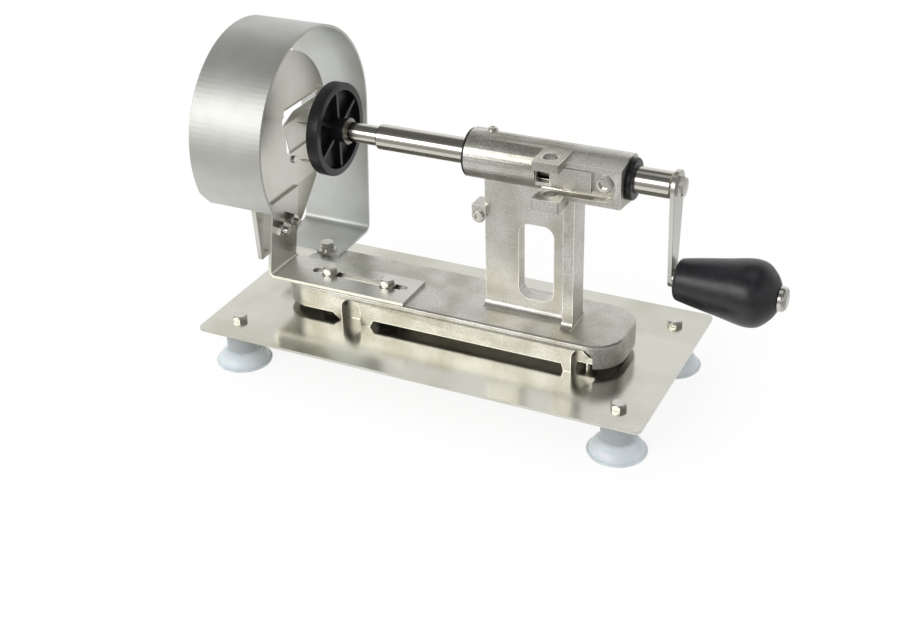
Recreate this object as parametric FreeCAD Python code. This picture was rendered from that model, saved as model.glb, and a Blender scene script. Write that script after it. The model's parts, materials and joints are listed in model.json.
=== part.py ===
# Hand cranked spiral potato cutter, all sizes in millimetres.
# Modelled on the base plate: X runs along the spindle towards the crank, Y to the back, Z up,
# zero is the middle of the plate's top face. Export moves everything to ORIGIN_SHIFT.
import FreeCAD
import Part
import math
import os

V = FreeCAD.Vector

# Base plate and feet
PLATE_L = 340.0
PLATE_W = 165.0
PLATE_T = 2.0
PLATE_CORNER = 5.0
FOOT_X = 147.4
FOOT_Y = 59.2
FOOT_DROP = 34.0
CUP_R = 20.75
CUP_RIM = 1.5
NECK_R = 11.65
NECK_END = -24.0

# Fasteners
M6_R = 3.0
M6_HOLE_R = 3.2
M6_FLATS = 10.0
M6_HEAD = 4.0
M6_NUT = 5.0
WASHER_R = 6.2
WASHER_T = 1.2
M8_R = 4.0
M8_FLATS = 13.0

# Casting: bed, column, housing
BED_X0 = -129.6
BED_X1 = 133.8
BED_HALF_W = 31.3
BED_TOP = 23.0
BED_SKIRT = 5.6
BED_CORNER = 23.0
BED_WALL = 5.0
BED_EDGE_ROUND = 2.0
LEFT_NOTCH = (-69.2, 7.6, 19.1)
RIGHT_NOTCH = (110.2, 7.6, 19.2)
LEFT_PAD = (-84.4, -78.0, -54.0, -51.0)
RIGHT_PAD = (95.4, 97.0, 104.0, 104.5)
PAD_DEPTH = 7.5
BED_SCREW_Y = 17.0
NOTCH_DEPTH = 6.8
NOTCH_WALL_T = 3.0
NOTCH_SLOT = (2.0, 13.2, 8.5, 3.0, 40.0)
BOSS_R = 7.5
BED_SCREW_BOSS_R = 5.5
WEB_X0 = 26.7
WEB_Y0 = -3.3
WEB_Y1 = 7.2
FLANGE_X0 = 88.2
FLANGE_X1 = 96.0
FLANGE_Y0 = -12.5
WINDOW = (52.0, 78.0, 34.0, 92.0)
WINDOW_CORNER = 8.0
COVE_R = 6.0

AXIS_Z = 137.0
TUBE_R = 16.6
TUBE_X0 = 17.0
TUBE_X1 = 130.0
TUBE_BORE_R = 10.5
BLOCK_X0 = 92.0
BLOCK_OUTLINE = ((-20.0, 149.8), (-7.8, 151.65), (0.0, 151.0), (6.0, 137.0), (1.6, 120.5), (-20.0, 122.8))
LUG_X0 = 73.0
LUG_X1 = 92.0
LUG_FACE_Y = -32.0
LUG_ROUND = 1.0
TOP_LUG_Z = (146.5, 152.8)
LOW_LUG_Z = (117.7, 126.7)
LUG_BORE = (82.0, -21.3, 4.8)
LUG_BORE_CHAMFER = 0.6
SLOT_X0 = 69.0
SLOT_X1 = 126.5
SLOT_FLOOR_Y = -13.6
LAND = (79.5, 108.4, 129.2, 144.0)
LAND_FACE_Y = -16.4
PORT = (69.0, 78.8, 130.0, 140.5)
HOUSING_SCREW_X = 117.0
HOUSING_SCREW_FACE_Y = -16.5
HOUSING_SCREW_R = 5.8
COLUMN_LUG = (23.6, 93.3, 5.2)
COLUMN_LUG_TOP = 101.3
COLUMN_LUG_HALF_W = 7.0
TOP_SCREW = (30.0, 4.0, 3.0)
TOP_SCREW_SEAT = 153.9
TOP_SCREW_Z = 155.6

# Bushes and shafts
RUN_GAP = 0.05
BUSH_SLEEVE = 28.0
LEFT_FLANGE_T = 1.7
RIGHT_FLANGE_T = 4.0
RIGHT_FLANGE_R = 14.2
QUILL_R = 9.0
QUILL_X0 = -54.0
QUILL_X1 = 158.5
SPINDLE_R = 7.0
SPINDLE_NOSE_R = 5.0

# Pusher
WHEEL_R = 33.2
WHEEL_X0 = -95.0
WHEEL_X1 = -86.0
WHEEL_WALL = 5.2
WHEEL_WEB = 3.5
HUB_R = 8.5
HUB_X1 = -80.0
RIB_COUNT = 6
RIB_T = 2.5
RIB_FIRST_DEG = 30.0
COLLAR_R = 9.4
COLLAR_T = 1.5
PRONG_RING_R = 30.5
PRONG_R = 0.9
PRONG_TIP_X = -105.0
PRONG_ROOT_X = -89.0
PRONG_DEG = (90.0, 210.0, 330.0)
SPIKE_R = 1.1
SPIKE_TIP_X = -122.0
NOSE_X0 = -92.5

# Crank
ARM_X0 = 159.5
ARM_T = 3.0
ARM_HUB_R = 11.0
ARM_END_R = 6.0
KNOB_Z = 70.5
CRANK_BOLT_HEAD = 4.0
KNOB_GAP = 0.2
KNOB_X0 = 164.5
KNOB_X1 = 233.0
KNOB_SMALL_R = 14.3
KNOB_BIG_R = 22.5
KNOB_BIG_X = 215.0
KNOB_END_R = 8.0
KNOB_PIN_R = 4.0
KNOB_HEAD_R = 8.5
KNOB_HEAD_T = 5.0

# Blade carrier
SLIDE_GAP = 0.05
BRACKET_T = 2.5
BRACKET_X1 = -26.0
BRACKET_Y0 = -31.0
BRACKET_Y1 = 5.0
BRACKET_TOP = 84.0
BRACKET_BEND = 5.0
BRACKET_SLOT = (-111.1, -33.3)
BRACKET_BOLT_X = (-96.6, -48.8)
BRACKET_BOLT_Y = -10.75
DISC_Z = 131.5
DISC_R = 55.2
DISC_T = 1.8
DISC_FACE_X = -130.7
CREASE_Z = 84.0
LEAN_DEG = 7.4
SHOULDER_Z = 101.5
TAIL_OUTLINE = ((35.4, 79.7), (18.2, 53.8), (11.2, 46.1), (8.2, 45.8), (-31.0, 45.8))
BLADE_WINDOW = (-3.0, 42.0, 110.5, 144.6)
BLADE_HOLE = (-2.0, 136.5, 4.0)
LEAF_Y = (4.0, 41.5)
LEAF_T = 1.0
LEAF_TAB_Z = 101.0
LEAF_FOLD = (-135.8, 130.8)
LEAF_EDGE = (-127.2, 143.3)
BLADE_SCREWS = ((5.0, 105.0), (35.0, 105.0))
BLADE_SCREW_R = 1.5
BLADE_SCREW_HEAD_R = 2.8
BACK_T = 3.5
BACK_OUTLINE = ((-37.0, 40.0), (12.0, 40.0), (36.0, 84.0), (-47.4, 84.0))
BACK_TOP = (-50.6, 42.0, 98.0)
PLATE_BOLTS = ((-22.0, 61.5), (-7.0, 61.5))
PLATE_BOLT_END = 8.6

# Guard band
GUARD_Z = 133.0
GUARD_R = 75.0
GUARD_T = 2.0
GUARD_X0 = -163.0
GUARD_X1 = -106.0
GUARD_FRONT_DEG = 209.8
GUARD_LEG_DEG = -4.0
GUARD_BEND = 7.0
GUARD_FLANGE_Y = 18.5
GUARD_BOLT = (-118.0, 22.0)
GUARD_CORNER = (5.0, 7.0)

# The part's own origin is the middle of its box, at the rims of the feet
ORIGIN_SHIFT = V(-34.0, 0.0, FOOT_DROP)


def box(x, y, z):
    return Part.makeBox(x[1] - x[0], y[1] - y[0], z[1] - z[0], V(x[0], y[0], z[0]))


def rod(start, end, radius):
    run = end.sub(start)
    return Part.makeCylinder(radius, run.Length, start, run)


def rod_x(x0, x1, radius, y=0.0, z=AXIS_Z):
    return rod(V(x0, y, z), V(x1, y, z), radius)


def join(shapes):
    return shapes[0].multiFuse(list(shapes[1:])).removeSplitter()


def group(shapes):
    return Part.makeCompound(list(shapes))


def edges_along(shape, axis):
    # Straight edges that run along the axis.
    found = []
    for edge in shape.Edges:
        straight = edge.Curve.TypeId == "Part::GeomLine"
        if straight and abs(edge.tangentAt(edge.FirstParameter).dot(axis)) > 0.999:
            found.append(edge)
    return found


def rounded_box(x, y, z, radius, axis):
    solid = box(x, y, z)
    return solid.makeFillet(radius, edges_along(solid, axis))


def profile(points, push):
    wire = Part.makePolygon(list(points) + [points[0]])
    return Part.Face(wire).extrude(push)


def profile_along_x(points, x0, x1):
    return profile([V(x0, y, z) for y, z in points], V(x1 - x0, 0, 0))


def profile_along_y(points, y0, y1):
    return profile([V(x, y0, z) for x, z in points], V(0, y1 - y0, 0))


def spun(outline, center, axis):
    # Full turn of a closed wire about the axis.
    return Part.Face(outline).revolve(center, axis, 360)


def place(shape, at, direction):
    # Takes a piece drawn along +Z to its place.
    turn = FreeCAD.Rotation(V(0, 0, 1), direction)
    moved = shape.copy()
    moved.Placement = FreeCAD.Placement(at, turn)
    return moved


def hexagon(flats, height):
    # Hexagon from z 0 to the height, with its top corners turned off.
    corner = flats / math.sqrt(3)
    points = [V(corner * math.cos(math.radians(60 * k)), corner * math.sin(math.radians(60 * k)), 0)
              for k in range(6)]
    solid = profile(points, V(0, 0, height))
    crown = Part.makeCone(flats / 2 + height * 1.2, flats / 2 - 0.4, height)
    return solid.common(crown)


def hex_bolt(flats, head, radius, shank):
    # Head above z 0, shank below it.
    shaft = Part.makeCylinder(radius, shank, V(0, 0, -shank))
    return join([hexagon(flats, head), shaft])


def hex_nut(flats, height, radius):
    return hexagon(flats, height).cut(Part.makeCylinder(radius, height))


def washer(radius, hole, thickness):
    return Part.makeCylinder(radius, thickness).cut(Part.makeCylinder(hole, thickness))


def corners():
    return [V(sx * FOOT_X, sy * FOOT_Y, 0) for sx in (-1, 1) for sy in (-1, 1)]


def bed_screw_places():
    return [V(notch[0], sy * BED_SCREW_Y, 0) for notch in (LEFT_NOTCH, RIGHT_NOTCH) for sy in (-1, 1)]


def make_base_plate():
    half_l = PLATE_L / 2
    half_w = PLATE_W / 2
    plate = rounded_box((-half_l, half_l), (-half_w, half_w), (-PLATE_T, 0), PLATE_CORNER, V(0, 0, 1))
    for at in corners() + bed_screw_places():
        plate = plate.cut(rod(at, at - V(0, 0, PLATE_T), M6_HOLE_R))
    return plate


def make_foot(at):
    # Suction cup: straight neck, flared bell, thin rim and hollow underside.
    top = -PLATE_T
    rim = -FOOT_DROP
    edge_z = rim + CUP_RIM
    flare = Part.Arc(V(NECK_R, 0, NECK_END), V(NECK_R + 2.2, 0, -29.0), V(CUP_R, 0, edge_z))
    dome = Part.Arc(V(CUP_R - CUP_RIM, 0, rim), V(11.5, 0, -30.5), V(M6_R, 0, -29.0))
    outline = Part.Wire([
        Part.makeLine(V(0, 0, top), V(NECK_R, 0, top)),
        Part.makeLine(V(NECK_R, 0, top), V(NECK_R, 0, NECK_END)),
        flare.toShape(),
        Part.makeLine(V(CUP_R, 0, edge_z), V(CUP_R, 0, rim)),
        Part.makeLine(V(CUP_R, 0, rim), V(CUP_R - CUP_RIM, 0, rim)),
        dome.toShape(),
        Part.makeLine(V(M6_R, 0, -29.0), V(0, 0, -29.0)),
        Part.makeLine(V(0, 0, -29.0), V(0, 0, top)),
    ])
    cup = spun(outline, V(0, 0, 0), V(0, 0, 1))
    cup = cup.cut(rod(V(0, 0, top), V(0, 0, -FOOT_DROP / 2), M6_R))
    cup.translate(at)
    return cup


def make_foot_bolts():
    bolt = hex_bolt(M6_FLATS, M6_HEAD, M6_R, FOOT_DROP / 2)
    return group([place(bolt, at, V(0, 0, 1)) for at in corners()])


def make_bed_screws():
    screw = hex_bolt(M6_FLATS, M6_HEAD, M6_R, 14.0)
    return group([place(screw, at - V(0, 0, PLATE_T), V(0, 0, -1)) for at in bed_screw_places()])


def bed_pad(pad, side):
    # Tapered pad beside a notch, on the wall of one side.
    outline = ((pad[0], BED_SKIRT + 4), (pad[0], BED_SKIRT), (pad[1], 0), (pad[2], 0),
               (pad[3], BED_SKIRT), (pad[3], BED_SKIRT + 4))
    near = side * (BED_HALF_W - PAD_DEPTH)
    far = side * BED_HALF_W
    return profile_along_y(outline, min(near, far), max(near, far))


def notch_cut(notch, side):
    center, radius, apex = notch
    depth = (side * (BED_HALF_W - NOTCH_DEPTH), side * (BED_HALF_W + 1))
    y0 = min(depth)
    y1 = max(depth)
    arch = rod(V(center, y0, apex - radius), V(center, y1, apex - radius), radius)
    return arch.fuse(box((center - radius, center + radius), (y0, y1), (-1, apex - radius)))


def notch_wall(notch, side):
    # Wall behind a notch, hung from the bed's top.
    center, radius = notch[:2]
    front = side * (BED_HALF_W - NOTCH_DEPTH)
    back = front - side * NOTCH_WALL_T
    return box((center - radius - 1.5, center + radius + 1.5), (min(front, back), max(front, back)),
               (BED_SKIRT, BED_TOP - 1))


def notch_slot(notch, side):
    # Round ended slot in that wall, its right end low.
    shift, z, length, width, tilt = NOTCH_SLOT
    center = V(notch[0] + shift, 0, z)
    front = side * (BED_HALF_W - NOTCH_DEPTH + 1)
    back = front - side * (NOTCH_WALL_T + 2)
    y0 = min(front, back)
    y1 = max(front, back)
    reach = (length - width) / 2
    slot = box((-reach, reach), (y0, y1), (-width / 2, width / 2))
    ends = [rod(V(x, y0, 0), V(x, y1, 0), width / 2) for x in (-reach, reach)]
    slot = join([slot] + ends)
    slot.rotate(V(0, 0, 0), V(0, 1, 0), tilt)
    slot.translate(center)
    return slot


def make_bed():
    bed = rounded_box((BED_X0, BED_X1), (-BED_HALF_W, BED_HALF_W), (BED_SKIRT, BED_TOP),
                      BED_CORNER, V(0, 0, 1))
    rim = [edge for edge in bed.Edges if edge.BoundBox.ZMin > BED_TOP - 0.01]
    bed = bed.makeFillet(BED_EDGE_ROUND, rim)
    inside = rounded_box((BED_X0 + BED_WALL, BED_X1 - BED_WALL),
                         (-BED_HALF_W + BED_WALL, BED_HALF_W - BED_WALL),
                         (BED_SKIRT - 1, BED_TOP - BED_WALL), BED_CORNER - BED_WALL, V(0, 0, 1))
    pieces = [bed.cut(inside)]
    for pad in (LEFT_PAD, RIGHT_PAD):
        pieces += [bed_pad(pad, side) for side in (-1, 1)]
    bosses = [(at.x, at.y, BED_SCREW_BOSS_R) for at in bed_screw_places()]
    bosses += [(x, BRACKET_BOLT_Y, BOSS_R) for x in BRACKET_BOLT_X]
    bosses.append(GUARD_BOLT + (BED_SCREW_BOSS_R,))
    pieces += [rod(V(x, y, BED_SKIRT), V(x, y, BED_TOP - 1), radius) for x, y, radius in bosses]
    solid = join(pieces)
    sides = [(notch, side) for notch in (LEFT_NOTCH, RIGHT_NOTCH) for side in (-1, 1)]
    for notch, side in sides:
        solid = solid.cut(notch_cut(notch, side))
    solid = join([solid] + [notch_wall(notch, side) for notch, side in sides])
    for notch, side in sides:
        solid = solid.cut(notch_slot(notch, side))
    return solid


def cove(x0, x1, y, away):
    # Concave fillet between the bed and an upright face at y.
    size = COVE_R * away
    corner = V(x0, y, BED_TOP)
    block = profile([corner, corner + V(0, size, 0), corner + V(0, size, COVE_R), corner + V(0, 0, COVE_R)],
                    V(x1 - x0, 0, 0))
    hollow = rod(V(x0, y + size, BED_TOP + COVE_R), V(x1, y + size, BED_TOP + COVE_R), COVE_R)
    return block.cut(hollow)


def make_column():
    low = BED_TOP - 1
    web = box((WEB_X0, FLANGE_X1), (WEB_Y0, WEB_Y1), (low, AXIS_Z))
    x0, x1, z0, z1 = WINDOW
    opening = rounded_box((x0, x1), (WEB_Y0 - 1, WEB_Y1 + 1), (z0, z1), WINDOW_CORNER, V(0, 1, 0))
    flange = box((FLANGE_X0, FLANGE_X1), (FLANGE_Y0, WEB_Y1), (low, AXIS_Z - TUBE_R + 4))
    lug_x, lug_z, lug_r = COLUMN_LUG
    half = COLUMN_LUG_HALF_W
    boss = rod(V(lug_x, -half, lug_z), V(lug_x, half, lug_z), lug_r)
    brace = box((lug_x - lug_r, lug_x + lug_r), (-half, half), (lug_z, COLUMN_LUG_TOP))
    coves = [cove(WEB_X0, FLANGE_X0, WEB_Y0, -1), cove(WEB_X0, FLANGE_X1, WEB_Y1, 1),
             cove(FLANGE_X0, FLANGE_X1, FLANGE_Y0, -1)]
    return join([web.cut(opening), flange, boss, brace] + coves)


def make_lug(z):
    lug = box((LUG_X0, LUG_X1), (LUG_FACE_Y, 0), z)
    front = [edge for edge in edges_along(lug, V(0, 0, 1)) if edge.BoundBox.YMax < LUG_FACE_Y + 0.01]
    return lug.makeFillet(LUG_ROUND, front)


def make_housing():
    tube = rod_x(TUBE_X0, TUBE_X1, TUBE_R)
    block = profile_along_x(BLOCK_OUTLINE, BLOCK_X0, TUBE_X1)
    x, y, radius = TOP_SCREW
    pad = box((TUBE_X0, x), (y - radius, y + radius), (AXIS_Z + 10, TOP_SCREW_SEAT - 0.8))
    top_boss = rod(V(x, y, AXIS_Z + 10), V(x, y, TOP_SCREW_SEAT), radius + 1.2)
    body = join([tube, block, make_lug(TOP_LUG_Z), make_lug(LOW_LUG_Z), pad, top_boss])
    slot_z = (LOW_LUG_Z[1] - 0.2, TOP_LUG_Z[0])
    end_round = (slot_z[1] - slot_z[0]) / 2 - 0.5
    slot = box((SLOT_X0 - 0.5, SLOT_X1), (LUG_FACE_Y - 1, SLOT_FLOOR_Y), slot_z)
    far_edges = [edge for edge in edges_along(slot, V(0, 1, 0)) if edge.BoundBox.XMin > SLOT_X1 - 0.01]
    slot = slot.makeFillet(end_round, far_edges)
    land = box((LAND[0], LAND[1]), (LAND_FACE_Y, SLOT_FLOOR_Y + 1), (LAND[2], LAND[3]))
    return body.cut(slot).fuse(land)


def make_main_casting():
    solid = join([join([make_bed(), make_column()]), make_housing()])
    x, y, radius = LUG_BORE
    holes = [rod_x(TUBE_X0 - 1, TUBE_X1 + 1, TUBE_BORE_R)]
    holes.append(rod(V(x, y, LOW_LUG_Z[0] - 1), V(x, y, TOP_LUG_Z[1] + 2), radius))
    mouth = LUG_BORE_CHAMFER
    holes.append(Part.makeCone(radius, radius + 2 * mouth, 2 * mouth, V(x, y, TOP_LUG_Z[1] - mouth)))
    holes.append(box((PORT[0], PORT[1]), (SLOT_FLOOR_Y - 1, -8.0), (PORT[2], PORT[3])))
    holes += [rod(at - V(0, 0, 1), at + V(0, 0, 12.0), M6_R) for at in bed_screw_places()]
    holes += [rod(V(bolt_x, BRACKET_BOLT_Y, 9.0), V(bolt_x, BRACKET_BOLT_Y, BED_TOP + 1), M6_R)
              for bolt_x in BRACKET_BOLT_X]
    bolt_x, bolt_y = GUARD_BOLT
    holes.append(rod(V(bolt_x, bolt_y, 9.0), V(bolt_x, bolt_y, BED_TOP + 1), M6_R))
    holes.append(rod(V(HOUSING_SCREW_X, SLOT_FLOOR_Y - 1, AXIS_Z), V(HOUSING_SCREW_X, -9.0, AXIS_Z), M6_R))
    lug_x, lug_z = COLUMN_LUG[:2]
    holes.append(rod(V(lug_x, -COLUMN_LUG_HALF_W - 1, lug_z), V(lug_x, 3.0, lug_z), M6_R))
    x, y, radius = TOP_SCREW
    holes.append(rod(V(x, y, TOP_SCREW_SEAT - 3), V(x, y, TOP_SCREW_SEAT + 1), radius - 1))
    for hole in holes:
        solid = solid.cut(hole)
    return solid


def cap_screw(radius, head, shank_r, shank, socket):
    # Round head above z 0 with a hexagon socket, shank below.
    body = Part.makeCylinder(radius, head)
    body = body.makeChamfer(0.5, [edge for edge in body.Edges if edge.BoundBox.ZMin > head - 0.01])
    screw = join([body, Part.makeCylinder(shank_r, shank, V(0, 0, -shank))])
    key = hexagon(socket, head)
    key.translate(V(0, 0, head * 0.4))
    return screw.cut(key)


def make_housing_screw():
    head = SLOT_FLOOR_Y - HOUSING_SCREW_FACE_Y
    screw = cap_screw(HOUSING_SCREW_R, head, M6_R, SLOT_FLOOR_Y * -1 - TUBE_BORE_R, 6.6)
    return place(screw, V(HOUSING_SCREW_X, SLOT_FLOOR_Y, AXIS_Z), V(0, -1, 0))


def make_column_lug_screw():
    screw = cap_screw(4.3, 1.8, M6_R, COLUMN_LUG_HALF_W + 3.0, 4.0)
    return place(screw, V(COLUMN_LUG[0], -COLUMN_LUG_HALF_W, COLUMN_LUG[1]), V(0, -1, 0))


def make_tube_set_screw():
    x, y, radius = TOP_SCREW
    screw = cap_screw(radius, TOP_SCREW_Z - TOP_SCREW_SEAT, radius - 1, 3.0, 2.5)
    return place(screw, V(x, y, TOP_SCREW_SEAT), V(0, 0, 1))


def make_bush(face_x, inward, flange_t, flange_r):
    # Flanged plastic bush, its flange against the tube's end face.
    outer_x = face_x - inward * flange_t
    inner_x = face_x + inward * BUSH_SLEEVE
    flange = rod_x(min(outer_x, face_x), max(outer_x, face_x), flange_r)
    rims = [edge for edge in flange.Edges if edge.BoundBox.XLength < 0.01]
    flange = flange.makeFillet(flange_t * 0.38, rims)
    sleeve = rod_x(min(face_x, inner_x), max(face_x, inner_x), TUBE_BORE_R)
    bore = rod_x(min(outer_x, inner_x) - 1, max(outer_x, inner_x) + 1, QUILL_R + RUN_GAP)
    return join([flange, sleeve]).cut(bore)


def make_quill():
    shaft = rod_x(QUILL_X0, QUILL_X1, QUILL_R)
    ends = [edge for edge in shaft.Edges if edge.BoundBox.XLength < 0.01]
    shaft = shaft.makeChamfer(0.8, ends)
    return shaft.cut(rod_x(QUILL_X0 - 1, QUILL_X1 + 1, SPINDLE_R + RUN_GAP))


def make_spindle():
    nose = rod_x(NOSE_X0, HUB_X1, SPINDLE_NOSE_R)
    body = rod_x(HUB_X1, ARM_X0, SPINDLE_R)
    thread = rod_x(ARM_X0 - 20, ARM_X0 + 1, M8_R)
    return join([nose, body]).cut(thread)


def make_pusher_collar():
    # Ring pressed on the spindle against the hub.
    return rod_x(HUB_X1, HUB_X1 + COLLAR_T, COLLAR_R).cut(rod_x(HUB_X1, HUB_X1 + COLLAR_T, SPINDLE_R))


def ring_point(x, radius, degrees):
    turn = math.radians(degrees)
    return V(x, radius * math.cos(turn), AXIS_Z + radius * math.sin(turn))


def make_pusher_wheel():
    rim = rod_x(WHEEL_X0, WHEEL_X1, WHEEL_R)
    edges = [edge for edge in rim.Edges if edge.BoundBox.XLength < 0.01]
    rim = rim.makeFillet(0.8, edges)
    rim = rim.cut(rod_x(WHEEL_X0 + WHEEL_WEB, WHEEL_X1 + 1, WHEEL_R - WHEEL_WALL))
    pieces = [rim, rod_x(WHEEL_X0 + WHEEL_WEB - 1, HUB_X1, HUB_R)]
    for k in range(RIB_COUNT):
        rib = box((WHEEL_X0 + WHEEL_WEB - 1, WHEEL_X1 - 1), (HUB_R - 2, WHEEL_R - WHEEL_WALL + 1),
                  (AXIS_Z - RIB_T / 2, AXIS_Z + RIB_T / 2))
        rib.rotate(V(0, 0, AXIS_Z), V(1, 0, 0), RIB_FIRST_DEG + k * 360 / RIB_COUNT)
        pieces.append(rib)
    wheel = join(pieces)
    wheel = wheel.cut(rod_x(NOSE_X0, HUB_X1, SPINDLE_NOSE_R))
    wheel = wheel.cut(rod_x(WHEEL_X0, NOSE_X0, SPIKE_R))
    for degrees in PRONG_DEG:
        wheel = wheel.cut(rod(ring_point(WHEEL_X0, PRONG_RING_R, degrees),
                              ring_point(PRONG_ROOT_X, PRONG_RING_R, degrees), PRONG_R))
    return wheel


def pointed_pin(root, tip, radius, point):
    # Round pin whose last stretch is a cone.
    run = tip.sub(root).normalize()
    neck = tip - run * point
    cone = Part.makeCone(radius, 0.15, point, neck, run)
    return join([rod(root, neck, radius), cone])


def make_pusher_prongs():
    return group([pointed_pin(ring_point(PRONG_ROOT_X, PRONG_RING_R, degrees),
                              ring_point(PRONG_TIP_X, PRONG_RING_R, degrees), PRONG_R, 4.0)
                  for degrees in PRONG_DEG])


def make_pusher_spike():
    return pointed_pin(V(NOSE_X0, 0, AXIS_Z), V(SPIKE_TIP_X, 0, AXIS_Z), SPIKE_R, 6.0)


def make_crank_arm():
    # Two rounds joined by their outer tangents.
    span = AXIS_Z - KNOB_Z
    lean = math.asin((ARM_HUB_R - ARM_END_R) / span)
    cos_l = math.cos(lean)
    sin_l = math.sin(lean)
    sides = []
    for center, radius in ((AXIS_Z, ARM_HUB_R), (KNOB_Z, ARM_END_R)):
        sides.append((radius * cos_l, center - radius * sin_l))
    (hub_y, hub_z), (end_y, end_z) = sides
    waist = profile_along_x(((hub_y, hub_z), (-hub_y, hub_z), (-end_y, end_z), (end_y, end_z)),
                            ARM_X0, ARM_X0 + ARM_T)
    arm = join([waist, rod_x(ARM_X0, ARM_X0 + ARM_T, ARM_HUB_R),
                rod_x(ARM_X0, ARM_X0 + ARM_T, ARM_END_R, 0, KNOB_Z)])
    arm = arm.cut(rod_x(ARM_X0, ARM_X0 + ARM_T, M8_R))
    return arm.cut(rod_x(ARM_X0, ARM_X0 + ARM_T, KNOB_PIN_R, 0, KNOB_Z))


def make_crank_bolt():
    bolt = hex_bolt(M8_FLATS, CRANK_BOLT_HEAD, M8_R, 20.0)
    return place(bolt, V(ARM_X0 + ARM_T, 0, AXIS_Z), V(1, 0, 0))


def make_knob_washer():
    ring = washer(7.0, KNOB_PIN_R, KNOB_X0 - ARM_X0 - ARM_T)
    return place(ring, V(ARM_X0 + ARM_T, 0, KNOB_Z), V(1, 0, 0))


def make_knob():
    # Pear grip turned about the crank pin.
    start = KNOB_X0 + KNOB_GAP
    bore = KNOB_PIN_R + RUN_GAP
    small = KNOB_SMALL_R
    dome = Part.Arc(V(KNOB_BIG_X, 0, KNOB_BIG_R), V(227.5, 0, 17.2), V(KNOB_X1, 0, KNOB_END_R))
    points = [V(start, 0, bore), V(start, 0, small - 1.8), V(start + 2, 0, small),
              V(KNOB_BIG_X, 0, KNOB_BIG_R)]
    lines = [Part.makeLine(a, b) for a, b in zip(points, points[1:])]
    lines.append(dome.toShape())
    lines.append(Part.makeLine(V(KNOB_X1, 0, KNOB_END_R), V(KNOB_X1, 0, bore)))
    lines.append(Part.makeLine(V(KNOB_X1, 0, bore), points[0]))
    grip = spun(Part.Wire(lines), V(0, 0, 0), V(1, 0, 0))
    grip.translate(V(0, 0, KNOB_Z))
    return grip


def make_knob_bolt():
    # Pin through arm, washer and grip, with a domed head.
    head_x = KNOB_X1 + KNOB_GAP
    cap = rod_x(head_x, head_x + KNOB_HEAD_T, KNOB_HEAD_R, 0, KNOB_Z)
    rim = [edge for edge in cap.Edges if edge.BoundBox.XMin > head_x + KNOB_HEAD_T - 0.01]
    cap = cap.makeFillet(KNOB_HEAD_T * 0.7, rim)
    return join([cap, rod_x(ARM_X0, head_x, KNOB_PIN_R, 0, KNOB_Z)])


def slot_hole(x0, x1, y, z0, z1, radius):
    return rounded_box((x0, x1), (y - radius, y + radius), (z0, z1), radius * 0.98, V(0, 0, 1))


def lean(shape):
    # Pieces below the blade plate's crease lean back with it; they are drawn upright.
    shape.rotate(V(DISC_FACE_X, 0, CREASE_Z), V(0, 1, 0), LEAN_DEG)
    return shape


def cut_plate_bolt_holes(plate):
    # Holes for the leaning bolts, in a plate that already stands in its place.
    for y, z in PLATE_BOLTS:
        plate = plate.cut(lean(rod_x(DISC_FACE_X - 15, DISC_FACE_X + 15, M6_HOLE_R, y, z)))
    return plate


def make_blade_bracket():
    # Strip with a slotted foot, bent up a little past square so that its head leans forward.
    floor = BED_TOP + SLIDE_GAP
    turn = math.radians(LEAN_DEG)
    up = V(math.sin(turn), 0, math.cos(turn))
    back = V(-math.cos(turn), 0, math.sin(turn))
    inner_r = BRACKET_BEND - BRACKET_T
    center_z = floor + BRACKET_BEND
    drop = (CREASE_Z - center_z) * math.sin(turn)
    center_x = DISC_FACE_X + (BRACKET_T + inner_r - drop) / math.cos(turn)
    center = V(center_x, BRACKET_Y0, center_z)
    middle = (back + V(0, 0, -1)).normalize()
    rise = (BRACKET_TOP - center_z) / math.cos(turn)
    sides = []
    for radius in (BRACKET_BEND, inner_r):
        low = center + V(0, 0, -radius)
        high = center + back * radius
        bend = Part.Arc(low, center + middle * radius, high).toShape()
        foot = Part.makeLine(V(BRACKET_X1, BRACKET_Y0, low.z), low)
        upright = Part.makeLine(high, high + up * rise)
        sides.append([foot, bend, upright])
    toe = Part.makeLine(sides[0][0].Vertexes[0].Point, sides[1][0].Vertexes[0].Point)
    top = Part.makeLine(sides[0][2].Vertexes[-1].Point, sides[1][2].Vertexes[-1].Point)
    outline = Part.Wire(Part.sortEdges(sides[0] + sides[1] + [toe, top])[0])
    bracket = Part.Face(outline).extrude(V(0, BRACKET_Y1 - BRACKET_Y0, 0))
    bracket = bracket.cut(slot_hole(BRACKET_SLOT[0], BRACKET_SLOT[1], BRACKET_BOLT_Y, BED_TOP - 1,
                                    BED_TOP + 6, M6_HOLE_R))
    return cut_plate_bolt_holes(bracket)


def bracket_washer_z():
    return BED_TOP + BRACKET_T + 2 * SLIDE_GAP


def make_bracket_bolts():
    seat = bracket_washer_z() + WASHER_T
    bolt = hex_bolt(M6_FLATS, M6_HEAD, M6_R, seat - 9.0)
    return group([place(bolt, V(x, BRACKET_BOLT_Y, seat), V(0, 0, 1)) for x in BRACKET_BOLT_X])


def make_bracket_washers():
    ring = washer(WASHER_R, M6_HOLE_R, WASHER_T)
    return group([place(ring, V(x, BRACKET_BOLT_Y, bracket_washer_z()), V(0, 0, 1)) for x in BRACKET_BOLT_X])


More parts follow.
